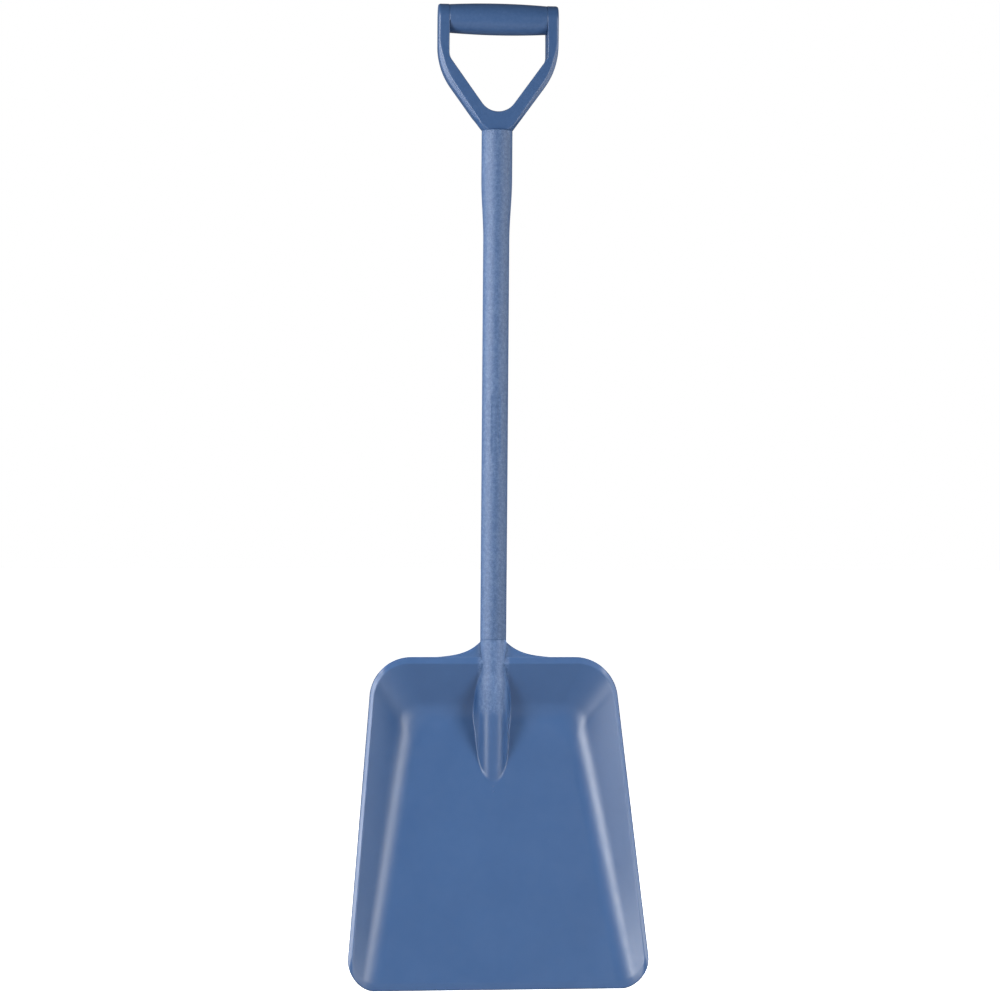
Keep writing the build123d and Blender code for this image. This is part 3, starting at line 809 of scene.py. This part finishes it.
# a bar along Z with a taper, a belly and one shallow panel on its front
def barTree(material):
    tree = bpy.data.node_groups.new("turnedBar", "GeometryNodeTree")
    face = tree.interface
    for name in shaftBar:
        kind = "NodeSocketInt" if name in ("Sides", "Rings") else "NodeSocketFloat"
        face.new_socket(name, in_out="INPUT", socket_type=kind)
    face.new_socket("Geometry", in_out="OUTPUT", socket_type="NodeSocketGeometry")
    nodes, links = tree.nodes, tree.links
    given = nodes.new("NodeGroupInput").outputs

    def math2(operation, a, b=None):
        node = nodes.new("ShaderNodeMath")
        node.operation = operation
        for socket, value in zip(node.inputs, (a, b)):
            if value is None:
                continue
            if isinstance(value, (int, float)):
                socket.default_value = value
            else:
                links.new(value, socket)
        return node.outputs[0]

    def smooth(value, low, high):
        node = nodes.new("ShaderNodeMapRange")
        node.interpolation_type = "SMOOTHSTEP"
        for socket, v in zip(("Value", "From Min", "From Max"), (value, low, high)):
            if isinstance(v, (int, float)):
                node.inputs[socket].default_value = v
            else:
                links.new(v, node.inputs[socket])
        return node.outputs["Result"]

    length = math2("SUBTRACT", given["End"], given["Start"])
    tube = nodes.new("GeometryNodeMeshCylinder")
    tube.fill_type = "TRIANGLE_FAN"
    links.new(given["Sides"], tube.inputs["Vertices"])
    links.new(given["Rings"], tube.inputs["Side Segments"])
    tube.inputs["Radius"].default_value = 1.0
    tube.inputs["Depth"].default_value = 2.0

    where = nodes.new("ShaderNodeSeparateXYZ")
    links.new(nodes.new("GeometryNodeInputPosition").outputs[0], where.inputs[0])
    share = math2("DIVIDE", math2("ADD", where.outputs["Z"], 1.0), 2.0)
    # rings lie closer together next to the ends
    curve = math2("MULTIPLY", math2("SINE", math2("MULTIPLY", share, 2 * math.pi)), 0.02)
    share = math2("SUBTRACT", share, curve)
    height = math2("ADD", given["Start"], math2("MULTIPLY", share, length))

    taper = smooth(height, given["Taper Start"], given["Taper End"])
    radius = math2("ADD", given["Radius"],
                   math2("MULTIPLY", taper, math2("SUBTRACT", given["Collar Radius"], given["Radius"])))
    middle = math2("SUBTRACT", math2("MULTIPLY", share, 2.0), 1.0)
    belly = math2("MULTIPLY", given["Belly"], math2("SUBTRACT", 1.0, math2("MULTIPLY", middle, middle)))
    radius = math2("ADD", radius, belly)
    ends = math2("MINIMUM", math2("SUBTRACT", height, given["Start"]), math2("SUBTRACT", given["End"], height))
    inset = math2("MAXIMUM", math2("SUBTRACT", given["Edge"], ends), 0.0)
    inset = math2("DIVIDE", math2("MULTIPLY", inset, inset), math2("MULTIPLY", given["Edge"], 1.6))
    radius = math2("SUBTRACT", radius, inset)

    # panel: a long rounded recess on the front
    x = math2("MULTIPLY", where.outputs["X"], radius)
    front = math2("LESS_THAN", where.outputs["Y"], 0.0)
    panelMiddle = math2("MULTIPLY", math2("ADD", given["Panel Low"], given["Panel High"]), 0.5)
    panelHalf = math2("MULTIPLY", math2("SUBTRACT", given["Panel High"], given["Panel Low"]), 0.5)
    dz = math2("MAXIMUM", math2("SUBTRACT", math2("ABSOLUTE", math2("SUBTRACT", height, panelMiddle)),
                                math2("SUBTRACT", panelHalf, 0.0022)), 0.0)
    dx = math2("MAXIMUM", math2("SUBTRACT", math2("ABSOLUTE", x),
                                math2("SUBTRACT", given["Panel Half Width"], 0.0022)), 0.0)
    away = math2("SQRT", math2("ADD", math2("MULTIPLY", dx, dx), math2("MULTIPLY", dz, dz)))
    sunk = math2("MULTIPLY", math2("SUBTRACT", 1.0, smooth(away, 0.0010, 0.0022)), given["Panel Depth"])
    radius = math2("SUBTRACT", radius, math2("MULTIPLY", sunk, front))

    place = nodes.new("ShaderNodeCombineXYZ")
    onRim = math2("GREATER_THAN", math2("ADD", math2("MULTIPLY", where.outputs["X"], where.outputs["X"]),
                                        math2("MULTIPLY", where.outputs["Y"], where.outputs["Y"])), 0.25)
    radius = math2("MULTIPLY", radius, onRim)
    links.new(math2("MULTIPLY", where.outputs["X"], radius), place.inputs["X"])
    links.new(math2("MULTIPLY", where.outputs["Y"], radius), place.inputs["Y"])
    links.new(height, place.inputs["Z"])
    move = nodes.new("GeometryNodeSetPosition")
    links.new(tube.outputs["Mesh"], move.inputs["Geometry"])
    links.new(place.outputs[0], move.inputs["Position"])
    shade = nodes.new("GeometryNodeSetShadeSmooth")
    links.new(move.outputs[0], shade.inputs[0])
    real = nodes.new("GeometryNodeRealizeInstances")
    links.new(shade.outputs[0], real.inputs[0])
    paint = nodes.new("GeometryNodeSetMaterial")
    paint.inputs["Material"].default_value = material
    links.new(real.outputs[0], paint.inputs["Geometry"])
    out = nodes.new("NodeGroupOutput")
    links.new(paint.outputs[0], out.inputs["Geometry"])
    return tree


def makeBar(name, sizes, material, place):
    host = bpy.data.objects.new(name + "Host", bpy.data.meshes.new(name + "Host"))
    bpy.context.scene.collection.objects.link(host)
    modifier = host.modifiers.new("bar", "NODES")
    modifier.node_group = barTree(material)
    for item in modifier.node_group.interface.items_tree:
        if item.in_out == "INPUT" and item.name in sizes:
            modifier[item.identifier] = sizes[item.name]
    bpy.context.view_layer.update()
    graph = bpy.context.evaluated_depsgraph_get()
    mesh = bpy.data.meshes.new_from_object(host.evaluated_get(graph))
    mesh.name = name
    mesh.transform(place)
    bpy.data.objects.remove(host)
    piece = bpy.data.objects.new(name, mesh)
    bpy.context.scene.collection.objects.link(piece)
    print(name, "has", sum(len(p.vertices) - 2 for p in mesh.polygons), "triangles")
    return piece


shaftPiece = makeBar("shaftSleeve", shaftBar, shaftPlastic, Matrix.Translation((0, shaftY * mm, 0)))
finishPiece(shaftPiece, "sleeve_plastic", "shaft_sleeve")
gripPiece = makeBar("crossbarSleeve", gripBar, gripPlastic,
                    Matrix.Translation((0, shaftY * mm, gripZ * mm)) @ Matrix.Rotation(math.pi / 2, 4, "Y"))
finishPiece(gripPiece, "grip_plastic", "grip_sleeve")
print("bars made")


# rod caps

capSizes = {"radius": 7.5, "thickness": 3.0, "edge": 0.8, "dome": 0.3}


def makeCaps():
    shell = Shell()
    angles = np.linspace(0, 2 * math.pi, 65)[:-1]
    r, t, e = capSizes["radius"], capSizes["thickness"], capSizes["edge"]
    profile = [(r, yoke["half"] - t), (r, yoke["half"] - e)]
    bend = np.radians(np.linspace(15, 90, 6))
    profile += [(r - e * (1 - math.cos(a)), yoke["half"] - e + e * math.sin(a)) for a in bend]
    profile = [(a, b - capSizes["dome"]) for a, b in profile]
    inner = profile[-1][0]
    profile += [(inner * s, yoke["half"] - capSizes["dome"] * s * s) for s in (0.8, 0.6, 0.4, 0.2)]
    for sign in (1, -1):
        rings = [np.stack([np.full(64, sign * x), shaftY + rr * np.cos(angles), gripZ + rr * np.sin(angles)], 1)
                 for rr, x in profile]
        shell.grid(np.stack(rings), closed=True)
        shell.fan(rings[-1], (sign * yoke["half"], shaftY, gripZ))
        shell.fan(rings[0], (sign * (yoke["half"] - t - capSizes["dome"]), shaftY, gripZ))
    return shell


capPiece = makeCaps().make("rodCaps", handlePlastic)
finishPiece(capPiece, "handle_plastic", "grip_rod_caps")
print("rod caps made")


# pieces kept from the frame

for node, material in (("core_tube", tubeMetal), ("core_plug_top", plugPlastic), ("core_plug_bottom", plugPlastic),
                       ("grip_rod", rodMetal), ("blade_screws", screwMetal), ("handle_screw", screwMetal)):
    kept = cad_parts[node]
    if kept.material_slots:
        for place in kept.material_slots:
            place.material = material
    else:
        kept.data.materials.append(material)


# stage, camera and lights

stageSizes = {"half": 9.0, "pale": 0.88, "seenByLight": 0.30, "glow": 0.97}


def makeStage():
    s = stageSizes
    mesh = bpy.data.meshes.new("paleFloor")
    h = s["half"]
    mesh.from_pydata([(-h, -h, 0), (h, -h, 0), (h, h, 0), (-h, h, 0)], [], [(0, 1, 2, 3)])
    floor = bpy.data.objects.new("paleFloor", mesh)
    bpy.context.scene.collection.objects.link(floor)
    material, nodes, links, shader = newMaterial("palePaper")
    path = nodes.new("ShaderNodeLightPath").outputs["Is Camera Ray"]
    shader.inputs["Roughness"].default_value = 0.95
    links.new(addMix(nodes, links, path, (s["seenByLight"],) * 3, (s["pale"],) * 3), shader.inputs["Base Color"])
    shader.inputs["Emission Color"].default_value = (1, 1, 1, 1)
    links.new(addMath(nodes, links, "MULTIPLY", path, s["glow"]), shader.inputs["Emission Strength"])
    mesh.materials.append(material)


makeStage()

camera = {
    "azimuth": -4.891, "elevation": 1.246, "roll": 0.444, "distance": 2.7, "lens": 84.0,
    "aimHeight": 0.5445, "aimRight": 0.00663,
}


def makeCamera():
    a, e, r = (math.radians(camera[k]) for k in ("azimuth", "elevation", "roll"))
    back = Vector((math.sin(a) * math.cos(e), -math.cos(a) * math.cos(e), math.sin(e)))
    right = Vector((math.cos(a), math.sin(a), 0))
    up = back.cross(right)
    turnedRight = right * math.cos(r) + up * math.sin(r)
    turnedUp = up * math.cos(r) - right * math.sin(r)
    aim = Vector((0, shaftY * mm, camera["aimHeight"])) + right * camera["aimRight"]
    data = bpy.data.cameras.new("studioCamera")
    data.lens = camera["lens"]
    data.sensor_width = 36.0
    data.clip_end = 50.0
    cam = bpy.data.objects.new("studioCamera", data)
    bpy.context.scene.collection.objects.link(cam)
    basis = Matrix((turnedRight, turnedUp, back)).transposed().to_4x4()
    cam.matrix_world = Matrix.Translation(aim + back * camera["distance"]) @ basis
    bpy.context.scene.camera = cam


makeCamera()

lights = {
    "left": {"azimuth": -51, "reach": 1.30, "height": 0.82, "size": (0.5, 1.4), "power": 23.0},
    "right": {"azimuth": 50, "reach": 1.30, "height": 0.82, "size": (0.5, 1.4), "power": 12.5},
    "sideLeft": {"azimuth": -92, "reach": 1.35, "height": 0.75, "size": (0.6, 1.5), "power": 15.0},
    "sideRight": {"azimuth": 95, "reach": 1.5, "height": 0.75, "size": (0.6, 1.5), "power": 8.0},
    "over": {"azimuth": 180, "reach": 0.30, "height": 2.3, "size": (0.9, 0.5), "power": 9.0},
    "low": {"azimuth": 2, "reach": 1.0, "height": 0.22, "size": (0.8, 0.3), "power": 0.4},
}
roomLight = {"seen": 1.0, "light": 0.14}
lightAim = (0, 0.1, 0.4)


def makeLights():
    aim = Vector(lightAim)
    for name, one in lights.items():
        data = bpy.data.lights.new(name + "Softbox", "AREA")
        data.shape = "RECTANGLE"
        data.size, data.size_y = one["size"]
        data.energy = one["power"]
        box = bpy.data.objects.new(name + "Softbox", data)
        bpy.context.scene.collection.objects.link(box)
        a = math.radians(one["azimuth"])
        box.location = (one["reach"] * math.sin(a), lightAim[1] - one["reach"] * math.cos(a), one["height"])
        box.rotation_mode = "QUATERNION"
        box.rotation_quaternion = (aim - box.location).to_track_quat("-Z", "Y")
        box.visible_camera = False
        if name == "over":                              # the overhead box is flagged off the handle
            receivers = bpy.data.collections.new("litFromAbove")
            for lit in (bladePiece, bpy.data.objects["paleFloor"]):
                receivers.objects.link(lit)
            box.light_linking.receiver_collection = receivers
    world = bpy.data.worlds.new("softRoom")
    bpy.context.scene.world = world
    world.use_nodes = True
    nodes, links = world.node_tree.nodes, world.node_tree.links
    path = nodes.new("ShaderNodeLightPath").outputs["Is Camera Ray"]
    strength = addRange(nodes, links, path, 0.0, 1.0, roomLight["light"], roomLight["seen"])
    nodes["Background"].inputs["Color"].default_value = (1, 1, 1, 1)
    links.new(strength, nodes["Background"].inputs["Strength"])
    bpy.context.scene.view_settings.view_transform = "Standard"


makeLights()
print("stage, camera and lights set")

bpy.context.view_layer.update()
